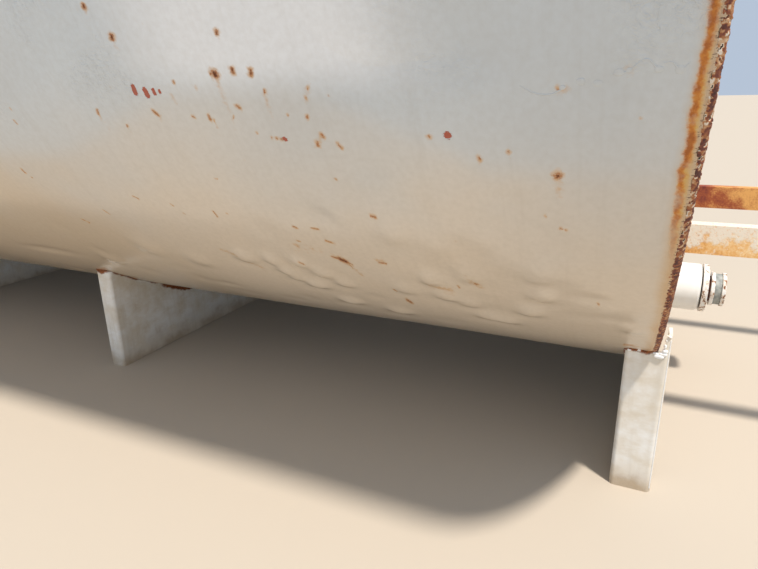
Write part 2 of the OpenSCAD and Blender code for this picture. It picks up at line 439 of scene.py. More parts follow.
    # the band's dark line runs along its outer part
    offLine = mathOf("ABSOLUTE", minus(frayed, 24 * mm))
    line = smooth(offLine, 9 * mm, 1 * mm)
    streak = ranged(noise(place, 60.0, 5.0, 0.65), 0.32, 0.68)
    shadeOfBand = between(0.5, line, streak)
    nibble = nodeOf("TexVoronoi", {"Scale": 150.0, "Vector": place})
    nibble = ranged(nibble, 0.0, 0.8, -2 * mm, 4 * mm)
    torn = plus(plus(unswayed, nibble), closer)
    wider = times(lower, 13 * mm)
    torn = minus(torn, wider)
    scale = ranged(torn, 9.5 * mm, 8.0 * mm)
    crust = noise(place, 210.0, 3.0, 0.6)
    crustTone = rampOf(crust, [(0.32, "#4f2f28"), (0.44, "#74422e"), (0.54, "#9a6238"),
                               (0.64, "#bd8c60"), (0.74, "#d6c2a8")])
    # dark ticks on the pale strip between the band and the scale
    tick = smooth(noise(stretchedBy(place, (130.0, 330.0, 330.0)), 1.0, 4.0, 0.6), 0.56, 0.62, 0.0, 0.8)
    strip = smooth(unswayed, 18 * mm, 12 * mm)
    tick = times(tick, strip)

    rustNoise = noise(place, 300.0, 4.0)
    rustTone = rampOf(rustNoise, [(0.30, "#3a1d12"), (0.50, "#5f3018"), (0.70, "#94561f")])
    bandTone = rampOf(shadeOfBand, [(0.25, "#cfa75c"), (0.45, "#cb8d3a"), (0.64, "#c07524"),
                                    (0.84, "#a45a14")])

    tone = tintOver(halo, tone, "#c39a5c")
    tone = tintOver(band, tone, bandTone)
    tone = tintOver(masks["stainMark"], tone, "#c79a62")
    faint = times(masks["rustHalo"], 0.6)
    tone = tintOver(faint, tone, "#cda473")
    middle = times(masks["rustMid"], 0.8)
    tone = tintOver(middle, tone, "#b0703a")
    tone = tintOver(speckHalo, tone, "#c89a5e")
    tone = tintOver(masks["primerMark"], tone, "#aa5541")
    rusty = larger(masks["rustCore"], speckCore)
    tone = tintOver(rusty, tone, rustTone)
    tone = tintOver(tick, tone, "#5c3a2c")
    tone = tintOver(scale, tone, crustTone)

    rough = ranged(cloud, 0.3, 0.7, look["gloss"] - 0.02, look["gloss"] + 0.03)
    dull = larger(larger(rusty, scale), band)
    rough = between(dull, rough, 0.85)

    # relief: orange peel of the spray at 5 mm, wrinkled patches at 12 mm, chips and scale standing out
    peel = noise(place, 190.0, 2.0)
    normal = bumped(peel, 0.25, 0.00035)
    patch = ranged(noise(place, 3.1, 2.0), 0.47, 0.58, 0.0, look["wrinkle"])
    high = ranged(at["z"], axisZ - 0.74, axisZ - 0.64)
    patch = times(patch, high)
    crease = times(noise(place, 95.0, 3.0, distortion=1.6), patch)
    normal = bumped(crease, 1.0, 0.003, normal)
    chipEdge = minus(minus(1.0, masks["rustMid"]), masks["primerMark"])
    normal = bumped(chipEdge, 0.6, 0.0008, normal)
    lumps = times(crust, scale)
    normal = bumped(lumps, 1.0, 0.0022, normal)
    return dressed(material, tone, rough, normal)


# Brushed white enamel over bent plate on the saddles: duller, yellowed, dusty towards the ground,
# rust creeping out of the weld under the shell and from chips along the edges.
def saddleEnamel(name, look):
    material, place = startMaterial(name)
    at = tankPlaces(place)
    cloud = noise(place, 9.0, 4.0, 0.6)
    blend = smooth(cloud, 0.35, 0.68)
    tone = tintOver(blend, "#eeeeea", "#dcd4c4")
    upright = stretchedBy(place, (60.0, 60.0, 5.0))
    run = ranged(noise(upright, 1.0, 4.0), 0.5, 0.78, 0.0, 0.16)
    tone = tintOver(run, tone, "#97896f")
    # cloudy smudges, some 60 mm wide and 25 mm high
    level = stretchedBy(place, (15.0, 15.0, 34.0))
    smudge = ranged(noise(level, 1.0, 5.0, 0.65, distortion=0.4), 0.48, 0.74, 0.0, 0.36)
    tone = tintOver(smudge, tone, "#c6b698")
    # dust and splashed soil on the lowest 150 mm
    dustEdge = wobbled(cloud, 0.05)
    low = plus(at["z"], dustEdge)
    dust = smooth(low, 0.09, -0.02, 0.0, 0.8)
    tone = tintOver(dust, tone, "#a8906c")
    # rust out of the weld: distance below the shell's underside
    below = minus(at["radius"], shellR)
    uneven = noise(place, 11.0, 6.0, 0.6)
    creep = ranged(uneven, 0.40, 0.72, -0.002, 0.018)
    joint = smooth(minus(creep, below), -0.003, 0.005)
    under = mathOf("GREATER_THAN", below, -0.004)
    joint = times(joint, under)
    beneath = mathOf("GREATER_THAN", at["toEnd"], 0.0)
    joint = times(joint, beneath)
    chips = smooth(noise(place, 48.0, 6.0, 0.7), 0.70, 0.745)
    rusty = larger(joint, chips)
    # the second saddle's plate has one large patch of rust right below the shell
    spot = onPlate(*look["rustPatch"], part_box("saddle_b_plate")[1].x)
    offX = ranged(at["x"], spot.x - 0.04, spot.x + 0.04, -1.0, clamp=False)
    offY = ranged(at["y"], spot.y - 0.12, spot.y + 0.12, -1.0, clamp=False)
    offZ = ranged(below, 0.0, 0.026, 0.0, clamp=False)
    away = nodeOf("CombineXYZ", {0: offX, 1: offY, 2: offZ})
    away = nodeOf("VectorMath", {"operation": "LENGTH", 0: away}, out=1)
    patch = smooth(plus(away, wobbled(uneven, 0.3)), 1.0, 0.75)
    rusty = larger(rusty, patch)
    grit = noise(place, 240.0, 4.0)
    rustTone = rampOf(grit, [(0.32, "#4c2918"), (0.50, "#83461f"), (0.70, "#ab6a30")])
    tone = tintOver(rusty, tone, rustTone)
    rough = ranged(cloud, 0.3, 0.7, 0.36, 0.5)
    dull = larger(rusty, dust)
    rough = between(dull, rough, 0.85)
    # brush ripples at 8 mm, grit of dust at 2 mm
    ripple = noise(place, 120.0, 3.0)
    normal = bumped(ripple, 0.3, 0.0006)
    gritty = times(grit, dull)
    normal = bumped(gritty, 0.7, 0.001, normal)
    return dressed(material, tone, rough, normal)


# Mild steel left in the weather: scale in browns and orange bloom, with what is left of white paint.
def weatheredSteel(name, look):
    material, place = startMaterial(name)
    split = nodeOf("SeparateXYZ", {0: place})
    x, y, z = split.node.outputs
    broad = noise(place, 12.0, 5.0, 0.6)
    grain = noise(place, 170.0, 5.0, 0.6)
    mixed = between(look["grain"], broad, grain)
    # browner where the piece starts, more orange further out
    outward = ranged(x, look["darkTo"], look["brightFrom"], -look["drift"], look["drift"])
    mixed = plus(mixed, outward)
    rust = rampOf(mixed, [(0.34, look["deep"]), (0.48, look["mid"]), (0.64, look["bloom"])])
    flakeNoise = noise(place, 26.0, 6.0, 0.68)
    height = ranged(z, look["paintFrom"], look["paintTo"], -0.16, 0.16)
    flakeNoise = plus(flakeNoise, height)
    paint = smooth(flakeNoise, look["paintAt"], look["paintAt"] + look["paintFade"])
    # fine pits let the rust through the paint
    pits = ranged(grain, 0.30, 0.46, 0.35)
    paint = times(times(paint, pits), look["paintShare"])
    tone = tintOver(paint, rust, "#eae2d4")
    rough = between(paint, 0.88, 0.42)
    raised = plus(grain, paint)
    normal = bumped(raised, 0.6, 0.0009)
    return dressed(material, tone, rough, normal)


# White alkyd paint on pipe, chipped at every edge, rust under the chips.
def pipePaint(name, look):
    material, place = startMaterial(name)
    broad = noise(place, 22.0, 4.0)
    tone = tintOver(broad, "#f6f8f8", "#e5e4de")
    chips = noise(place, 75.0, 6.0, 0.7)
    core = smooth(chips, look["chips"], look["chips"] + 0.03)
    halo = smooth(chips, look["chips"] - 0.10, look["chips"], 0.0, 0.5)
    grit = noise(place, 320.0, 4.0)
    rust = rampOf(grit, [(0.34, "#4a2a1c"), (0.52, "#84502f"), (0.70, "#b98357")])
    tone = tintOver(halo, tone, "#cda878")
    tone = tintOver(core, tone, rust)
    rough = between(core, 0.33, 0.85)
    film = minus(1.0, core)
    ripple = noise(place, 150.0, 2.0)
    normal = bumped(ripple, 0.2, 0.0005)
    normal = bumped(film, 0.7, 0.0007, normal)
    return dressed(material, tone, rough, normal)


# Dull grey paint on the coupling's band, rubbed lighter in the middle.
def bandPaint(name):
    material, place = startMaterial(name)
    wear = noise(place, 60.0, 5.0)
    tone = rampOf(wear, [(0.35, "#7d8280"), (0.55, "#9a9f9c"), (0.75, "#b9bab2")])
    rough = ranged(wear, 0.0, 1.0, 0.45, 0.7)
    normal = bumped(wear, 0.4, 0.0006)
    return dressed(material, tone, rough, normal)


shellEnamel = agedEnamel("aged_white_enamel_on_steel_plate", {
    "fresh": "#cdd5da", "aged": "#c7cdd0", "bloom": 0.75, "dust": "#dccdb8", "thickDust": "#cbb89d",
    "shelter": 0.7, "grime": "#94866f", "runs": 0.08, "specks": 0.35, "gloss": 0.17, "wrinkle": 1.0,
    "film": 0.15})
fittingEnamel = agedEnamel("aged_white_enamel_on_fittings", {
    "fresh": "#dcdbd5", "aged": "#cbc5b6", "bloom": 0.0, "dust": "#d6ccbc", "thickDust": "#d6ccbc",
    "shelter": 0.0, "grime": "#857559", "runs": 0.4, "specks": 1.0, "gloss": 0.33, "wrinkle": 0.0,
    "film": 0.0})
# the rust patch is given as (column, row) in the picture
saddleFinish = saddleEnamel("brushed_enamel_on_saddle_plate", {"rustPatch": (184, 289)})
pipeFinish = pipePaint("chipped_alkyd_paint_on_pipe", {"chips": 0.74})
collarFinish = pipePaint("chipped_alkyd_paint_on_collar", {"chips": 0.56})
railLow, railHigh = (corner.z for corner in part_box("rail_near"))
nearRailFinish = weatheredSteel("rusting_painted_steel_tube", {
    "deep": "#bf7a3c", "mid": "#e6b06a", "bloom": "#f3d6a6", "grain": 0.4, "drift": 0.05, "darkTo": endX,
    "brightFrom": endX + 0.2, "paintFrom": railLow, "paintTo": railHigh, "paintAt": 0.39,
    "paintFade": 0.16, "paintShare": 0.92})
# the far rail is darker and maroon where it starts by the head: painted shade over the rust
farRailFinish = weatheredSteel("rusted_bare_steel_tube", {
    "deep": "#743330", "mid": "#a45834", "bloom": "#e0a862", "grain": 0.25, "drift": 0.10,
    "darkTo": endX + 0.11, "brightFrom": endX + 0.27, "paintFrom": railLow, "paintTo": railHigh + 0.1,
    "paintAt": 0.66, "paintFade": 0.10, "paintShare": 0.5})
nippleFinish = weatheredSteel("rusted_screwed_steel_nipple", {
    "deep": "#2f1a17", "mid": "#4c2a20", "bloom": "#7a4528", "grain": 0.4, "drift": 0.0,
    "darkTo": endX - 1, "brightFrom": endX + 1, "paintFrom": 0.0, "paintTo": 1.0, "paintAt": 2.0,
    "paintFade": 0.1, "paintShare": 0.0})
bandFinish = bandPaint("grey_paint_on_coupling_band")
print("finishes made")


# shell skins: rolled courses with the dents and marks of the picture

skinPlan = {
    "around": 216, "along": 70, "wall": 12 * mm,
    # along the tank, the part that the picture shows closely
    "fineFrom": endX - 2.70, "fineTo": endX - 0.05,
    # degrees below the near horizontal
    "fineHigh": -17.0, "bellyHigh": -42.0, "bellyLow": -66.0,
    "fineCuts": 3, "bellyCuts": 5, "markCuts": 3,
}

# (column, row) in the picture, half length along the tank, half height round it, depth, all in mm
dents = [
    (360, 8, 190, 130, 14), (380, 45, 60, 40, 3), (445, 40, 55, 40, 3), (460, 66, 50, 30, 2),
    (372, 172, 42, 34, 4), (397, 198, 42, 28, 4), (360, 200, 40, 28, 3), (320, 217, 34, 22, 3),
    (505, 201, 44, 28, 3), (50, 250, 100, 22, 5), (560, 255, 40, 24, 3), (590, 300, 40, 20, 3),
]
# ripples that stand out of a shallow hollow, given in the same way
buckles = [
    (392, 237, 34, 13, 6), (448, 224, 40, 18, 4), (436, 247, 40, 16, 5), (466, 277, 36, 13, 6),
    (537, 277, 34, 13, 9), (541, 298, 30, 11, 8), (530, 313, 30, 10, 8), (447, 297, 32, 11, 7),
    (430, 281, 30, 11, 7), (405, 290, 30, 11, 5), (322, 274, 32, 10, 8), (300, 264, 26, 9, 7),
    (296, 277, 28, 9, 7), (272, 261, 26, 9, 6), (318, 285, 34, 9, 8), (352, 301, 38, 9, 8),
    (285, 270, 28, 9, 7), (245, 258, 34, 11, 7), (505, 266, 34, 15, 4), (480, 241, 34, 16, 4),
    (115, 260, 44, 13, 6), (635, 331, 26, 10, 5), (490, 317, 34, 10, 7), (470, 305, 30, 10, 7),
    (400, 311, 38, 10, 7), (200, 261, 44, 13, 5), (150, 249, 50, 16, 5), (508, 321, 28, 9, 6),
    (345, 284, 28, 9, 6), (333, 214, 32, 14, 4),
]

# (column, row) of one end and the other in the picture, half width and the stain's run below in mm
rustChips = [
    (83, 5, 84, 8, 3.2, 14), (111, 35, 112, 39, 3.4, 16), (215, 31.5, 215.5, 34.5, 2.6, 8),
    (213.5, 73, 215, 76, 4.4, 95), (210, 73, 210, 75, 1.8, 6), (231, 69, 232, 73, 2.8, 5),
    (249.5, 71, 250, 76, 2.6, 6), (173, 81, 173.5, 83, 1.7, 12), (96.8, 110, 98, 114, 2.0, 40),
    (153, 111, 158, 115.5, 2.2, 10), (126.5, 125, 127, 127, 1.5, 14), (192, 116.5, 194.5, 117.5, 1.7, 3),
    (208.5, 116, 210, 119.5, 2.2, 8), (236, 106, 239, 108, 2.2, 6), (263.3, 91, 263.7, 94, 1.7, 60),
    (306, 89, 306, 91, 1.2, 10), (304.5, 98, 305, 100, 1.1, 3), (306.3, 117, 306.8, 118.5, 2.0, 3),
    (287, 115.5, 287.5, 116.5, 1.2, 3), (271, 137, 271.5, 138, 1.2, 0), (276, 138, 277, 139, 1.4, 0),
    (281, 139.5, 283, 140, 1.7, 3), (256.5, 133, 257, 134, 1.2, 0), (321, 135, 323, 137.5, 2.0, 5),
    (317, 143, 318, 146, 2.2, 4), (337, 143.5, 341.5, 149, 1.6, 4), (21.5, 169.5, 25, 173, 1.9, 6),
    (31, 177, 32, 178, 1.2, 2), (133, 196.5, 138, 199, 1.4, 3), (82, 219.5, 89, 222.5, 1.6, 5),
    (103, 210, 109, 214, 1.0, 3), (213, 212, 217, 217, 1.3, 3), (215, 179, 217, 179.5, 1.0, 3),
    (226, 213.5, 227, 214, 0.9, 0), (293, 227, 296, 228, 1.6, 6), (311, 228.3, 318, 229.6, 1.2, 8),
    (297, 246.5, 309, 248, 1.6, 12), (326, 241, 331, 243, 1.4, 8), (332, 257, 345, 261.5, 1.8, 0),
    (340, 259.5, 346, 262, 3.6, 6), (346, 262, 352, 265, 1.2, 14), (371, 216.5, 375, 217.5, 2.0, 8),
    (9.5, 108, 11, 110, 1.0, 0), (13, 120, 17, 124, 1.2, 0), (559, 175.8, 557, 176.6, 3.1, 16),
    (553, 175.8, 555, 176.2, 1.6, 0), (560, 229.5, 562, 230, 1.2, 4), (565, 231, 566, 231.3, 1.0, 0),
    (428, 136.5, 429, 137, 1.7, 3), (479, 158.5, 480, 159.5, 1.9, 8), (508, 152, 509, 153, 1.6, 0),
    (408, 301, 410.5, 302.5, 2.6, 10), (475, 284, 476.5, 285, 1.6, 6), (458, 287, 459, 288, 1.2, 4),
    (545, 217, 546, 218, 0.8, 0), (394, 290, 396, 291, 1.4, 4), (598, 305, 599, 305.5, 1.1, 2),
    (300, 261, 304, 263, 1.2, 4), (379, 263, 386, 264, 1.4, 3), (233, 116, 233.5, 119, 1.0, 3),
    (170, 204, 173, 206, 0.9, 6), (183, 213.5, 185, 214.5, 0.8, 2), (335, 179, 336, 180, 1.0, 3),
    (326.5, 96.5, 327, 97.5, 0.9, 0), (640, 118, 640.5, 118.5, 0.5, 2), (663, 170, 663.5, 171, 1.0, 2),
    (654, 297.5, 655, 298.5, 1.2, 3), (557, 89.5, 558, 89.8, 1.2, 6), (624, 345, 632, 345.6, 0.8, 0),
    (347, 262, 352, 268, 0.9, 20), (297, 241, 300, 242, 1.0, 6), (214, 120, 214, 121, 0.8, 40),
]
# pale rust stains with nothing at their middle, given in the same way
tanStains = [
    (296, 246, 311, 249, 5.0), (311, 228, 319, 230.5, 4.0), (347, 262, 362, 276, 4.5),
    (326, 241, 334, 244, 3.5), (153, 111, 159, 116, 4.0), (558, 180, 559, 196, 4.5),
    (249, 70, 251, 78, 4.5), (195, 86, 196, 90, 4.0), (322, 136, 317, 146, 4.5), (172, 96, 176, 103, 4.0),
    (306, 88, 305, 101, 4.0), (248, 262, 262, 268, 5.0), (470, 281, 480, 287, 6.0),
    (220, 250, 236, 254, 5.0), (430, 285, 452, 291, 6.0), (560, 88, 566, 90, 5.0),
    (628, 71, 631, 72, 3.5), (684, 66, 688, 68, 4.0),
]
primerChips = [
    (132.5, 86.5, 135.5, 93.5, 3.0), (144.5, 90, 147.5, 96, 3.4), (152.8, 90, 154.8, 94, 2.2),
    (158.8, 90.5, 159.6, 92.5, 1.7), (446.6, 135.4, 448.0, 136, 3.0), (283.5, 139, 285.5, 140, 1.9),
]


def lineField(x, arc, start, finish, halfWidth, stretch=1.0):
    # 1 on the line from start to finish, 0 from halfWidth on, and from stretch times that round the shell
    arc = arc / stretch
    a, b = np.array(start) / (1, stretch), np.array(finish) / (1, stretch)
    along = b - a
    length = max(float(along @ along), 1e-12)
    t = np.clip(((x - a[0]) * along[0] + (arc - a[1]) * along[1]) / length, 0, 1)
    far = np.hypot(x - a[0] - t * along[0], arc - a[1] - t * along[1])
    return np.clip(1 - far / halfWidth, 0, 1)


def arcsOf(points):
    return shellR * np.arctan2(points[:, 1], axisZ - points[:, 2])


def faded(away):
    # 0 at the end of a course, 1 from 50 mm on
    share = np.clip(away / 0.05, 0, 1)
    return share * share * (3 - 2 * share)


def dentDepth(x, arc, extra):
    # every dent, and a slow oil-canning of the thin plate
    depth = np.zeros(len(x))
    for cx, ca, hx, ha, deep in extra:
        if deep < 0:  # what stands out overhangs: its lower side is the steeper one
            ha = np.where((arc - ca) * math.copysign(1, ca) < 0, ha * 0.65, ha)
        q = ((x - cx) / hx) ** 2 + ((arc - ca) / ha) ** 2
        near = q < 12
        depth[near] += deep * np.exp(-0.7 * q[near] ** 1.15)
    sway = (np.sin(x * 5.1 + 1.3 * np.sin(arc * 2.2)) + np.sin(arc * 4.3 + 1.7 * np.sin(x * 2.9) + 1.0)
            + 0.7 * np.sin(x * 9.7 - arc * 6.1))
    depth += 0.9 * mm * (sway + 2.7) / 2.7
    return depth


def rollSkin(name, x0, x1, plan, fine, windows, marks, extra, holes):
    deselectAll()
    bpy.ops.mesh.primitive_cylinder_add(vertices=plan["around"], radius=shellR, depth=x1 - x0,
                                        end_fill_type="NOTHING", location=((x0 + x1) / 2, 0, axisZ),
                                        rotation=(0, math.pi / 2, 0))
    skin = bpy.context.object
    bpy.ops.object.transform_apply(location=True, rotation=True, scale=True)

    # the same rolled sheet, turned, is the inner wall
    activate(skin)
    bpy.ops.object.duplicate()
    inner = bpy.context.object
    points = readPoints(inner)
    scaleRound(points, (shellR - plan["wall"]) / shellR)
    writePoints(inner, points)
    editAll(inner, bpy.ops.mesh.flip_normals)

    ends = skin.data.vertices
    editWhere(skin, "EDGE", lambda e: abs(ends[e.vertices[0]].co.x - ends[e.vertices[1]].co.x) > 0.1,
              bpy.ops.mesh.subdivide, number_cuts=plan["along"] - 1)

    # finer faces where the picture looks closely, and finer again round each mark
    for low, high, top, bottom, cuts in windows:
        def inWindow(face):
            angle = math.degrees(math.atan2(face.center.z - axisZ, abs(face.center.y)))
            sideOk = face.center.y < 0 if fine else True
            return sideOk and low < face.center.x < high and bottom < angle < top
        editWhere(skin, "FACE", inWindow, bpy.ops.mesh.subdivide, number_cuts=cuts)
    if marks:
        spots = np.array([[(m[0][0] + m[1][0]) / 2, (m[0][1] + m[1][1]) / 2,
                           math.dist(m[0], m[1]) / 2 + 3 * m[2] * m[5]] for m in marks])

        def nearMark(face):
            if face.center.y > 0 or face.area > 0.0004:
                return False
            arc = shellR * math.atan2(face.center.y, axisZ - face.center.z)
            far = np.hypot(spots[:, 0] - face.center.x, spots[:, 1] - arc)
            return (far < spots[:, 2] + 7 * mm).any()
        editWhere(skin, "FACE", nearMark, bpy.ops.mesh.subdivide, number_cuts=plan["markCuts"])
    # the rims of the finer fields
    editWhere(skin, "FACE", lambda f: f.loop_total > 4,
              bpy.ops.mesh.quads_convert_to_tris, quad_method="BEAUTY", ngon_method="BEAUTY")

    points = readPoints(skin)
    scaleRound(points, shellR / np.hypot(points[:, 1], points[:, 2] - axisZ))
    writePoints(skin, points)

    # close the two walls at both ends
    skin = joinPieces([skin, inner], name)
    for at in (x0, x1):
        verts = skin.data.vertices
        editWhere(skin, "EDGE", lambda e: all(abs(verts[v].co.x - at) < 1e-5 for v in e.vertices),
                  bpy.ops.mesh.bridge_edge_loops)

    # openings under the fittings
    for x, radius in holes:
        deselectAll()
        bpy.ops.mesh.primitive_cylinder_add(vertices=96, radius=radius, depth=0.4,
                                            location=(x, 0, axisZ + shellR))
        cutter = bpy.context.object
        activate(skin)
        cut = skin.modifiers.new("opening", "BOOLEAN")
        cut.object, cut.operation, cut.solver = cutter, "DIFFERENCE", "EXACT"
        bpy.ops.object.modifier_apply(modifier="opening")
        bpy.data.objects.remove(cutter)

    points = readPoints(skin)
    radius = np.hypot(points[:, 1], points[:, 2] - axisZ)
    arc = arcsOf(points)
    # dents fade out at both ends and round the openings
    fade = faded(np.minimum(points[:, 0] - x0, x1 - points[:, 0]))
    for x, hole in holes:
        away = np.where(points[:, 2] > axisZ, np.hypot(points[:, 0] - x, points[:, 1]), 9.0)
        fade *= np.clip((away - hole) / 0.06, 0, 1)
    scaleRound(points, (radius - dentDepth(points[:, 0], arc, extra) * fade) / radius)
    writePoints(skin, points)

    outer = radius > shellR - plan["wall"] / 2
    fields = {name: np.zeros(len(points)) for name in ("rustMark", "stainMark", "primerMark")}

    def mark(field, share, *line):
        fields[field] = np.maximum(fields[field], share * lineField(points[:, 0], arc, *line))
    for start, finish, halfWidth, runLength, kind, stretch in marks:
        if kind == "primer":
            mark("primerMark", 1.0, start, finish, halfWidth * 1.9, stretch)
        elif kind == "stain":
            mark("stainMark", 0.42, start, finish, halfWidth * 2, stretch)
        else:  # rust: small marks stay pale
            mark("rustMark", min(0.52 + 0.13 * halfWidth / mm, 1.0), start, finish,
                 halfWidth * 3.4 + 2 * mm, stretch)
        if runLength:
            below = (finish[0], finish[1] + runLength * mm)
            fall = np.clip(1 - (arc - finish[1]) / (runLength * mm + halfWidth * 3), 0, 1)
            mark("stainMark", 0.6 * fall, finish, below, halfWidth * 1.6 + 2 * mm)
    for field, values in fields.items():
        writeField(skin, field, values * outer)
    print(name, len(skin.data.polygons), "faces")
    return settle(skin, shellEnamel, 40)


marks = []


def stretchAt(column, row):
    # how much longer round the shell than along it one step in the picture is
    x, arc = onShell(column, row)
    return abs(onShell(column, row + 1)[1] - arc) / abs(onShell(column + 1, row)[0] - x)


for c0, r0, c1, r1, half, runLength in rustChips:
    marks.append((onShell(c0, r0), onShell(c1, r1), half * mm, runLength, "rust", stretchAt(c0, r0)))
for kind, places in (("primer", primerChips), ("stain", tanStains)):
    for c0, r0, c1, r1, half in places:
        marks.append((onShell(c0, r0), onShell(c1, r1), half * mm, 0, kind, stretchAt(c0, r0)))
frontDents = [(*onShell(c, r), hx * mm, ha * mm, deep * mm) for c, r, hx, ha, deep in dents]
for c, r, hx, ha, deep in buckles:
    frontDents.append((*onShell(c, r + 4), 1.2 * hx * mm, 2.4 * ha * mm, 0.2 * deep * mm))
    frontDents.append((*onShell(c, r), 0.8 * hx * mm, 3.2 * ha * mm, -1.05 * deep * mm))


def strayDents(count, x0, x1, sides, deepest):
    # dents of the same sort where the picture doesn't show them
    made = []
    for _ in range(count):
        arc = random.choice(sides) * shellR * math.radians(random.uniform(12, 62))
        made.append((random.uniform(x0, x1), arc, random.uniform(0.06, 0.12),
                     random.uniform(0.05, 0.09), random.uniform(0.3, 1.0) * deepest))
    return made


def fineDents(count):
    # small knocks between the measured ones on the belly
    made = []
    for _ in range(count):
        x, arc = onShell(random.uniform(40, 630), random.uniform(200, 335))
        made.append((x, arc, random.uniform(0.022, 0.05), random.uniform(0.018, 0.036),
                     random.uniform(0.6, 2.4) * mm))
    return made


def middleAndHalf(node):
    # the middle and the half width of a node along the tank
    low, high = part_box(node)
    return (low.x + high.x) / 2, (high.x - low.x) / 2


manwayX, manwayR = middleAndHalf("manway_neck")
fillX, nozzleR = middleAndHalf("fill_neck")
reliefX = middleAndHalf("relief_neck")[0]

frontDents += fineDents(60) + strayDents(16, midX, endX - 0.27, [1], 7 * mm)
fineSpan = (skinPlan["fineFrom"], skinPlan["fineTo"])
frontSkin = rollSkin("frontCourse", midX, frontHigh.x, skinPlan, True,
                     [(*fineSpan, skinPlan["fineHigh"], skinPlan["bellyHigh"], skinPlan["fineCuts"]),
                      (*fineSpan, skinPlan["bellyHigh"], skinPlan["bellyLow"], skinPlan["bellyCuts"])],
                     marks, frontDents, [(manwayX, manwayR), (fillX, nozzleR)])
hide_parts("shell_front")
rearSkin = rollSkin("rearCourse", rearLow.x, midX, skinPlan, False,
                    [(rearLow.x + 0.1, midX - 0.1, -25.0, -80.0, 1)],
                    [], strayDents(46, rearLow.x + 0.2, midX - 0.1, [-1, 1], 7 * mm), [(reliefX, nozzleR)])
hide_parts("shell_rear")
print("shell skins rolled")


# weld beads: a run of small overlapping puddles

weld = {"step": 4.5 * mm, "swell": 0.16}


def spreadAlong(path, closed):
    # the path again, with a point at every step
    points = [Vector(p) for p in path] + ([Vector(path[0])] if closed else [])
    made, left = [points[0]], 0.0
    for a, b in zip(points, points[1:]):
        length = (b - a).length
        at = weld["step"] - left
        while at < length:
            made.append(a.lerp(b, at / length))
            at += weld["step"]
        left = (left + length) % weld["step"]
    return made


def curveBead(name, kind, points, radii, depth, resolution, closed=False):
    curve = bpy.data.curves.new(name, "CURVE")
    curve.dimensions = "3D"
    line = curve.splines.new(kind)
    line.points.add(len(points) - 1)
    for spot, point, radius in zip(line.points, points, radii):
        spot.co, spot.radius = (*point, 1), radius
    line.use_cyclic_u = closed
    if kind == "NURBS":
        line.use_endpoint_u, line.order_u, line.resolution_u = True, 3, 6
    curve.bevel_depth, curve.bevel_resolution, curve.use_fill_caps = depth, resolution, True
    bead = bpy.data.objects.new(name, curve)
    bpy.context.scene.collection.objects.link(bead)
    activate(bead)
    bpy.ops.object.convert(target="MESH")
    return bead


def weldBead(name, path, width, finish, closed=False):
    points = spreadAlong(path, closed)
    radii = [1 + weld["swell"] * math.sin(2.1 * i) + random.uniform(-0.08, 0.08)
             for i in range(len(points))]
    return settle(curveBead(name, "POLY", points, radii, width / 2, 1, closed), finish, 70)


def undersideZ(y):
    return axisZ - math.sqrt(shellR ** 2 - y ** 2)


def underPath(x, y0, y1, drop=1.2 * mm):
    return [(x, y0 + (y1 - y0) * i / 24, undersideZ(y0 + (y1 - y0) * i / 24) - drop) for i in range(25)]


def saddleBead(name, path, width):
    weldBead(name, path, width, saddleFinish)


for letter in "abcd":
    low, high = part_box("saddle_%s_plate" % letter)
    for side, x in (("Rear", low.x - 0.6 * mm), ("Front", high.x + 0.6 * mm)):
        saddleBead("weldPlate%s%s" % (letter.upper(), side), underPath(x, low.y, high.y), 5.5 * mm)
    for side, sign in (("Near", -1), ("Far", 1)):
        legLow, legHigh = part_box("saddle_%s_leg_%s" % (letter, side.lower()))
        outY = sign * max(abs(legLow.y), abs(legHigh.y))
        inY = sign * min(abs(legLow.y), abs(legHigh.y))
        x0, x1 = max(legLow.x, rearX + 4 * mm), min(legHigh.x, endX - 4 * mm)
        webY, webZ = outY + sign * 0.8 * mm, undersideZ(outY) + 0.5 * mm
        label = letter.upper() + side
        saddleBead("weldWeb" + label, [(x0 + 8 * mm, webY, webZ), (x1 - 8 * mm, webY, webZ)], 6 * mm)
        for end, x in (("Rear", x0 - 0.5 * mm), ("Front", x1 + 0.5 * mm)):
            if rearX + 5 * mm < x < endX - 5 * mm:
                saddleBead("weldFlange" + label + end, underPath(x, outY - sign * 10 * mm, inY), 5.5 * mm)


def ring(radius, count=96):
    return [(radius * math.cos(2 * math.pi * i / count), radius * math.sin(2 * math.pi * i / count))
            for i in range(count)]


pipeLow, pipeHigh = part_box("outlet_pipe")
outletR, outletZ = (pipeHigh.z - pipeLow.z) / 2, (pipeHigh.z + pipeLow.z) / 2
weldBead("weldOutlet", [(endX, c, outletZ + d) for c, d in ring(outletR + 1 * mm)],
         8 * mm, pipeFinish, closed=True)
for side, finish, slot in (("near", nearRailFinish, "rusty_paint"), ("far", farRailFinish, "rusty_steel")):
    low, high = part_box("rail_" + side)
    loop = [(endX, low.y, low.z), (endX, high.y, low.z), (endX, high.y, high.z), (endX, low.y, high.z)]
    weldBead("weldRail" + side.capitalize(), loop, 6 * mm, finish, closed=True)
for name, x, radius, width in (("Manway", manwayX, manwayR, 10 * mm), ("Relief", reliefX, nozzleR, 7 * mm),
                               ("Fill", fillX, nozzleR, 7 * mm)):
    # where the upright neck meets the top of the shell, and where its flange sits on it
    root = [(x + c, d, axisZ + math.sqrt(shellR ** 2 - d ** 2)) for c, d in ring(radius + 1 * mm)]
    weldBead("weld%sRoot" % name, root, width, fittingEnamel, closed=True)
    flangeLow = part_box(name.lower() + "_flange")[0].z
    weldBead("weld%sCollar" % name, [(x + c, d, flangeLow) for c, d in ring(radius + 0.5 * mm)],
             width * 0.75, fittingEnamel, closed=True)
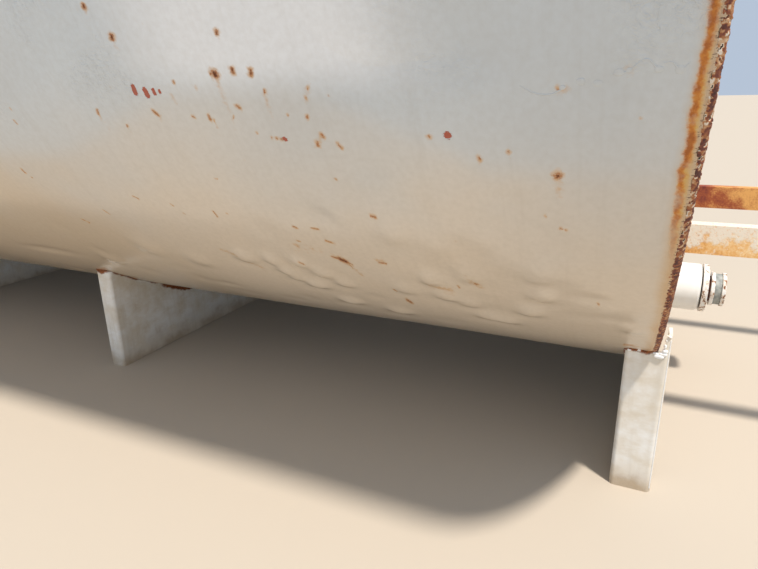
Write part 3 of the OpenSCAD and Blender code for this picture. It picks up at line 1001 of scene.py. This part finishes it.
for which in ("front", "rear"):
    low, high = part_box("lug_" + which)
    for side, y in (("Near", low.y - 0.5 * mm), ("Far", high.y + 0.5 * mm)):
        ends = [(low.x + 2 * mm, y, axisZ + shellR), (high.x - 2 * mm, y, axisZ + shellR)]
        weldBead("weldLug%s%s" % (which.capitalize(), side), ends, 8 * mm, fittingEnamel)
print("weld beads laid")


# the sagged edge of a thick coat: a scalloped bead of paint with drops hanging from it

# (column, row, half width in mm) along each run of the edge in the picture
paintSag = {
    "paintEdgeA": [(519, 86, 0.8), (527, 91, 1.2), (536, 94.5, 1.6), (545, 95.5, 1.8), (553, 94.5, 1.7),
                   (559, 91, 1.5), (566, 87, 1.0)],
    "paintEdgeB": [(611, 75, 1.0), (618, 73.5, 1.6), (625, 73, 1.5), (631, 70, 1.3), (637.5, 63.8, 1.2),
                   (643, 60, 1.3), (648, 58.8, 1.4), (652, 62, 1.5), (655, 66.5, 1.7), (659, 69.5, 1.9)],
    "paintEdgeC": [(664, 63.5, 1.0), (669, 61.8, 1.3), (673.8, 62.6, 1.4), (677, 67, 1.6),
                   (681, 70, 1.7), (686, 67, 1.3), (690, 62.5, 0.9)],
}
# (column, row, half width in mm) of the drops
paintDrops = [(562, 88, 4.4), (580.5, 82, 6.0), (597.5, 83.8, 6.4), (618.7, 72.8, 6.6), (629, 70.5, 4.0),
              (659, 69.6, 6.0), (680.6, 69.8, 6.4)]


def skinPoint(x, arc, lift):
    # a place on the dented skin of the front course, raised by lift
    sunk = dentDepth(np.array([x]), np.array([arc]), frontDents)[0]
    return shellPoint(x, arc, lift - sunk * faded(frontHigh.x - x))


def surfaceLine(name, stations):
    points = [skinPoint(*onShell(column, row), -0.5 * half * mm) for column, row, half in stations]
    return curveBead(name, "NURBS", points, [half for _, _, half in stations], mm, 2)


def blob(name, centre, facing, sizes, roughness):
    # a drop or lump: a ball pressed flat against what it sits on, its outline made uneven
    bpy.ops.mesh.primitive_uv_sphere_add(segments=20, ring_count=12, radius=1)
    made = bpy.context.object
    made.name = name
    turned = Vector(facing).to_track_quat("Z", "Y").to_matrix()
    points = readPoints(made)
    phase = [random.uniform(0, 6.28) for _ in range(3)]
    swell = 1 + roughness * (np.sin(3 * points[:, 0] + phase[0]) + np.sin(4 * points[:, 1] + phase[1])
                             + np.sin(5 * points[:, 2] + phase[2]))
    points *= swell[:, None] * np.array(sizes)
    writePoints(made, points @ np.array(turned).T + np.array(centre))
    return made


sagPieces = [surfaceLine(name, stations) for name, stations in paintSag.items()]
for i, (column, row, half) in enumerate(paintDrops):
    x, arc = onShell(column, row)
    centre = skinPoint(x, arc, 0)
    outward = shellPoint(x, arc, 1.0) - shellPoint(x, arc)
    sagPieces.append(blob("paintDrop%d" % i, centre, outward,
                          (half * mm, 0.85 * half * mm, 0.15 * half * mm), 0.05))
settle(joinPieces(sagPieces, "paintSag"), shellEnamel, 80)

# weld metal left in lumps, painted over: distance beyond the head's face, y, height and half sizes in mm
legLumps = [
    (1, -812, 393, 10, 5, 8), (9, -811, 398, 8, 5, 6), (13, -811, 407, 6, 4, 6),
    (-8, -812.5, 399, 5, 3, 3), (12, -810, 420, 4, 3, 5), (13, -809, 434, 3, 3, 4),
    (20, -811, 446, 4, 3, 3), (-44, -812.5, 401, 6, 3, 3), (-66, -812.5, 398, 5, 3, 3),
]
lumpPieces = [blob("weldLump%d" % i, (endX + x * mm, y * mm, z * mm), (0, -1, 0.3),
                   (hx * mm, hz * mm, hy * mm), 0.10)
              for i, (x, y, z, hx, hy, hz) in enumerate(legLumps)]
settle(joinPieces(lumpPieces, "weldLumps"), pipeFinish, 80)
# thick paint down the outer corners of the end legs
for name in ("saddle_a_leg_near", "saddle_a_leg_far", "saddle_d_leg_near", "saddle_d_leg_far"):
    low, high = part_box(name)
    side, outer = (-1 if "near" in name else 1), (1 if "_a_" in name else -1)
    inset = 3.2 * mm  # from the square corner to the middle of its round
    x = (high.x - inset) if outer > 0 else (low.x + inset)
    y = side * (max(abs(low.y), abs(high.y)) - inset)
    weldBead("paintRidge" + name.title().replace("_", ""),
             [(x, y, 0.012 + i * (high.z - 0.02) / 12) for i in range(13)],
             2.6 * mm, pipeFinish)
print("paint sag laid")


# scale and paint flakes that lift along the turned edge of each head

rimScale = {
    # how far the flaking starts before the knuckle
    "step": 2.0 * mm, "overShell": 9 * mm, "reach": 9.5 * mm, "reachBelow": 6 * mm, "kept": 0.86,
    "flake": 5.2 * mm, "lift": (0.4 * mm, 1.9 * mm), "tilt": 0.14, "sunk": -1.2 * mm,
}


def flakeCells(along, across, size, seeds):
    # nearest two flake middles to each point: which flake, how near its border, and where in it
    gridA, gridC = np.floor(along / size).astype(int), np.floor(across / size).astype(int)
    best = np.full((3, len(along)), 9.0)  # nearest, next, its number
    offset = np.zeros((2, len(along)))
    for da in (-1, 0, 1):
        for dc in (-1, 0, 1):
            a, c = gridA + da, gridC + dc
            number = (a % seeds.shape[0]) * seeds.shape[1] + (c % seeds.shape[1])
            seed = seeds.reshape(-1, seeds.shape[2])[number]
            dx, dy = along - (a + seed[:, 0]) * size, across - (c + seed[:, 1]) * size
            far = np.hypot(dx, dy)
            nearer = far < best[0]
            best[1] = np.where(nearer, best[0], np.minimum(best[1], far))
            best[0] = np.where(nearer, far, best[0])
            best[2] = np.where(nearer, number, best[2])
            offset = np.where(nearer, (dx, dy), offset)
    return best[2].astype(int), best[1] - best[0], offset


def scaleSheet(name, faceX, outward, step, plan):
    radius = frontHigh.z - axisZ
    turnLength = knuckleR * math.pi / 2
    columns, rows = int(2 * math.pi * radius / step), int((plan["overShell"] + turnLength) / step)
    bpy.ops.mesh.primitive_grid_add(x_subdivisions=columns, y_subdivisions=rows, size=1)
    sheet = bpy.context.object
    flat = readPoints(sheet)
    turns, down = flat[:, 0] + 0.5, flat[:, 1] + 0.5
    angle = turns * 2 * math.pi  # from the bottom line, as the arcs are
    across = down * (plan["overShell"] + turnLength)
    turned = np.clip((across - plan["overShell"]) / knuckleR, 0, math.pi / 2)
    fromFace = np.where(across < plan["overShell"], knuckleR + plan["overShell"] - across,
                        knuckleR * (1 - np.sin(turned)))
    base = radius - knuckleR * (1 - np.cos(turned))

    dice = np.random.default_rng(7)
    flakesRound = int(2 * math.pi * radius / plan["flake"])
    seeds = np.dstack([dice.uniform(0.1, 0.9, (flakesRound, 6)) for _ in range(2)]
                      + [dice.uniform(0, 1, (flakesRound, 6)) for _ in range(5)])
    along = turns * flakesRound * plan["flake"]
    number, border, offset = flakeCells(along, across, plan["flake"], seeds)
    flake = seeds.reshape(-1, 7)[number]
    # the flaking reaches further in below, where the rust does
    lower = np.clip((lowRim["from"] - np.minimum(angle, 2 * math.pi - angle) * radius) / lowRim["over"], 0, 1)
    reach = plan["reach"] + plan["reachBelow"] * lower
    kept = (fromFace < reach + 3 * mm * (flake[:, 2] - 0.5)) & (flake[:, 3] < plan["kept"])
    rise = np.clip(border / (1.6 * mm), 0, 1)
    lift = plan["lift"][0] + (plan["lift"][1] - plan["lift"][0]) * flake[:, 4] ** 2
    lift = lift + plan["tilt"] * ((flake[:, 5] - 0.5) * offset[0] + (flake[:, 6] - 0.5) * offset[1]) * 2
    lift = np.where(kept, lift * rise * (1 - 0.45 * lower) - 0.3 * mm, plan["sunk"])
    base = np.minimum(base + lift * np.cos(turned), radius - 0.4 * mm * (np.abs(np.sin(angle)) > 0.99))
    x = faceX - outward * fromFace + outward * lift * np.sin(turned)
    points = np.column_stack([x, base * np.sin(angle), axisZ - base * np.cos(angle)])
    writePoints(sheet, points)
    writeField(sheet, "flakeTone", flake[:, 3] / plan["kept"] * (1 - 0.22 * lower))
    # what stays sunk under the plate is taken out
    sunk = lift < -0.8 * mm
    editWhere(sheet, "FACE", lambda f: all(sunk[v] for v in f.vertices), bpy.ops.mesh.delete, type="FACE")
    editAll(sheet, bpy.ops.mesh.remove_doubles, bpy.ops.mesh.normals_make_consistent)
    sheet.name = name
    print(name, len(sheet.data.polygons), "faces")
    return settle(sheet, scaleFinish, 40)


# Layers of enamel and primer curling off rusted steel: near-black scale, maroon primer, orange rust,
# white paint.
def liftingScale(name):
    material, place = startMaterial(name)
    held = addNode(material.node_tree, "Attribute", {"attribute_name": "flakeTone"}, out=2)
    grit = noise(place, 260.0, 4.0, 0.65)
    shift = wobbled(grit, 0.09)
    pick = plus(held, shift)
    tone = rampOf(pick, [(0.0, "#4e2f2a"), (0.24, "#693a30"), (0.44, "#864c36"), (0.60, "#a2683f"),
                         (0.74, "#b98a62"), (0.86, "#cdb293"), (0.95, "#e0d6c8")])
    normal = bumped(grit, 0.8, 0.0012)
    return dressed(material, tone, 0.72, normal)


scaleFinish = liftingScale("lifting_scale_and_paint_on_head_rim")
scaleSheet("rimScaleOutletEnd", endX, 1, rimScale["step"], rimScale)
scaleSheet("rimScalePlainEnd", rearX, -1, 2 * rimScale["step"], rimScale)
print("rim scale laid")


# bolts: hexagon head, washer, shank through both flanges and a nut below

smallBolts = {"count": 4, "circle": 0.0705, "across": 24 * mm, "head": 10 * mm, "washer": 15 * mm,
              "shank": 8 * mm}
bolts = {
    "manway": {"count": 20, "circle": 0.289, "across": 30 * mm, "head": 12.5 * mm, "washer": 18.5 * mm,
               "shank": 10 * mm},
    "relief": smallBolts, "fill": smallBolts,
}


def bar(sides, radius, high, x, z, soften, turn=0.0):
    # a round bar has its rims eased, a hexagon all its edges
    bpy.ops.mesh.primitive_cylinder_add(vertices=sides, radius=radius, depth=high, location=(x, 0, z),
                                        rotation=(0, 0, turn))
    made = bpy.context.object
    bpy.ops.object.transform_apply(location=True, rotation=True, scale=True)
    corners = made.data.vertices

    def eased(edge):
        a, b = (corners[v].co.z for v in edge.vertices)
        return sides == 6 or abs(a - b) < 1e-5
    editWhere(made, "EDGE", eased, bpy.ops.mesh.bevel, offset=soften, segments=2, affect="EDGES")
    return made


def boltCircle(fitting, spec, centreX):
    deselectAll()
    under, joint = (corner.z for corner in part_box(fitting + "_flange"))
    top = 2 * joint - under  # the cover is as thick as the flange
    washerT, rim = 3 * mm, 0.6 * mm
    at, head, hexR = spec["circle"], spec["head"], spec["across"] / 2 / math.cos(math.pi / 6)
    parts = [
        bar(24, spec["washer"], washerT, at, top + washerT / 2, rim),
        bar(6, hexR, head, at, top + washerT + head / 2, 1.4 * mm, 0.3),
        bar(24, spec["washer"], washerT, at, under - washerT / 2, rim),
        bar(6, hexR, head * 1.2, at, under - washerT - head * 0.6, 1.4 * mm, 0.1),
        bar(24, spec["shank"], 0.034, at, under - 0.016, 1.2 * mm),
    ]
    first = joinPieces(parts, fitting + "Bolts")
    copies = [first]
    for i in range(1, spec["count"]):
        copy = first.copy()
        copy.data = first.data.copy()
        bpy.context.scene.collection.objects.link(copy)
        copy.rotation_euler = (0, 0, 2 * math.pi * i / spec["count"])
        copies.append(copy)
    whole = joinPieces(copies, fitting + "Bolts")
    whole.location.x = centreX
    return settle(whole, boltFinish, 35)


boltFinish = weatheredSteel("painted_steel_bolts_rusting", {
    "deep": "#5a3020", "mid": "#87522f", "bloom": "#b27a48", "grain": 0.4, "drift": 0.0, "darkTo": rearX,
    "brightFrom": endX, "paintFrom": axisZ + shellR + 0.11, "paintTo": axisZ + shellR + 0.26,
    "paintAt": 0.42, "paintFade": 0.05, "paintShare": 0.95})
for fitting, centreX in (("manway", manwayX), ("relief", reliefX), ("fill", fillX)):
    boltCircle(fitting, bolts[fitting], centreX)
print("bolts set")


# the CAD nodes that stay: finishes, and edges eased as plate and pipe have them

finishOf = {
    "head_outlet": shellEnamel, "head_plain": shellEnamel,
    "outlet_pipe": pipeFinish, "outlet_collar": collarFinish, "coupling_body": collarFinish,
    "outlet_nipple": nippleFinish, "coupling_band": bandFinish,
    "rail_near": nearRailFinish, "rail_far": farRailFinish,
}
for name, node in nodes.items():
    finish = finishOf.get(name) or (saddleFinish if name.startswith("saddle") else fittingEnamel)
    for slot in node.material_slots:
        slot.material = finish
# thickness edges of plate and bar are eased by a millimetre or two
easedEdges = {
    "saddle": 1.6 * mm, "rail": 2.5 * mm, "lug": 2.0 * mm, "collar": 2.0 * mm, "coupling_body": 2.0 * mm,
    "flange": 1.6 * mm, "cover": 1.8 * mm, "band": 1.0 * mm, "pipe": 1.5 * mm,
}
for name, node in nodes.items():
    width = next((w for key, w in easedEdges.items() if key in name), None)
    if width and not node.hide_render:
        node.modifiers.new("joinTriangles", "WELD").merge_threshold = 0.00005
        ease = node.modifiers.new("easedEdges", "BEVEL")
        ease.width, ease.segments, ease.limit_method, ease.angle_limit = width, 2, "ANGLE", math.radians(50)
        ease.use_clamp_overlap = True
        node.modifiers.new("evenShade", "WEIGHTED_NORMAL").keep_sharp = False
print("finishes on the CAD nodes")


# floor, light and air

bpy.ops.object.select_all(action="DESELECT")
bpy.ops.mesh.primitive_plane_add(size=400, location=(0, 0, 0))
floor = bpy.context.object
floor.name = "floor"
floorPaint = startMaterial("pale_floor")[0]
for name, value in (("Base Color", linearTint("#bfb5a6")), ("Roughness", 1.0),
                    ("Specular IOR Level", 0.15)):
    setInput(floorPaint.node_tree.nodes["Principled BSDF"], name, value)
floor.data.materials.append(floorPaint)

lamps = {
    "panel": {"kind": "AREA", "place": (endX - 1.3, -11.0, 3.3), "target": (endX - 1.6, -1.3, 0.9),
              "size": 6.0, "power": 70, "tint": "#d9e7ff"},
    # from so far that its light comes parallel; power in W per square metre
    "key": {"kind": "SUN", "place": (endX + 25.6, -19.8, 75.5), "target": (endX - 0.6, -1.1, 0.5),
            "spread": 4.9, "power": 4.2, "tint": "#fff6ec"},
}
for name, lamp in lamps.items():
    bpy.ops.object.light_add(type=lamp["kind"], location=lamp["place"])
    light = bpy.context.object
    light.name = name + "Light"
    if lamp["kind"] == "AREA":
        light.data.size = lamp["size"]
    else:
        light.data.angle = math.radians(lamp["spread"])
    light.data.energy = lamp["power"]
    light.data.color = linearTint(lamp["tint"])[:3]
    aim = Vector(lamp["target"]) - Vector(lamp["place"])
    light.rotation_euler = aim.to_track_quat("-Z", "Y").to_euler()
world = bpy.data.worlds.new("softAir")
bpy.context.scene.world = world
world.use_nodes = True
for name, value in (("Color", linearTint("#ccdbef")), ("Strength", 0.78)):
    setInput(world.node_tree.nodes["Background"], name, value)
bpy.context.scene.view_settings.view_transform = "Standard"
print("floor and lights set")
